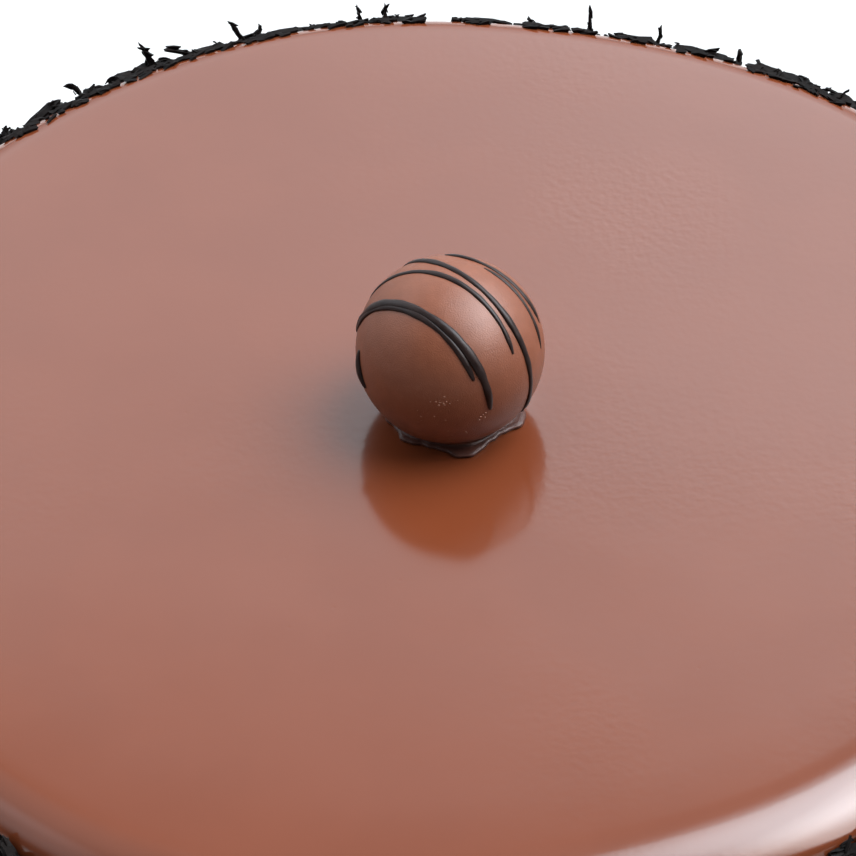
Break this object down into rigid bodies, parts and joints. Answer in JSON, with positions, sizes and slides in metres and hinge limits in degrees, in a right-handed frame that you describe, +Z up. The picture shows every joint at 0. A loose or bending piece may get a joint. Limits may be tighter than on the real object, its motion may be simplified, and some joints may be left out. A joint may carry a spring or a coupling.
{
  "type": "chocolate fudge cake",
  "caption": "Whole round chocolate fudge cake under poured milk chocolate icing, with dark chocolate shavings round its side and one drizzled truffle on top.",
  "frame": {"origin": "middle of the flat base of the cake, on the surface it stands on", "axes": "+Z up through the middle of the cake, -Y towards the front as it is viewed, +X to the right"},
  "size_m": [0.2088, 0.2094, 0.0866],
  "materials": {
    "icing": "gloss",
    "truffle_coating": "satin"
  },
  "bodies": {
    "root": {"cake": "icing", "truffle": "truffle_coating"}
  },
  "joints": []
}
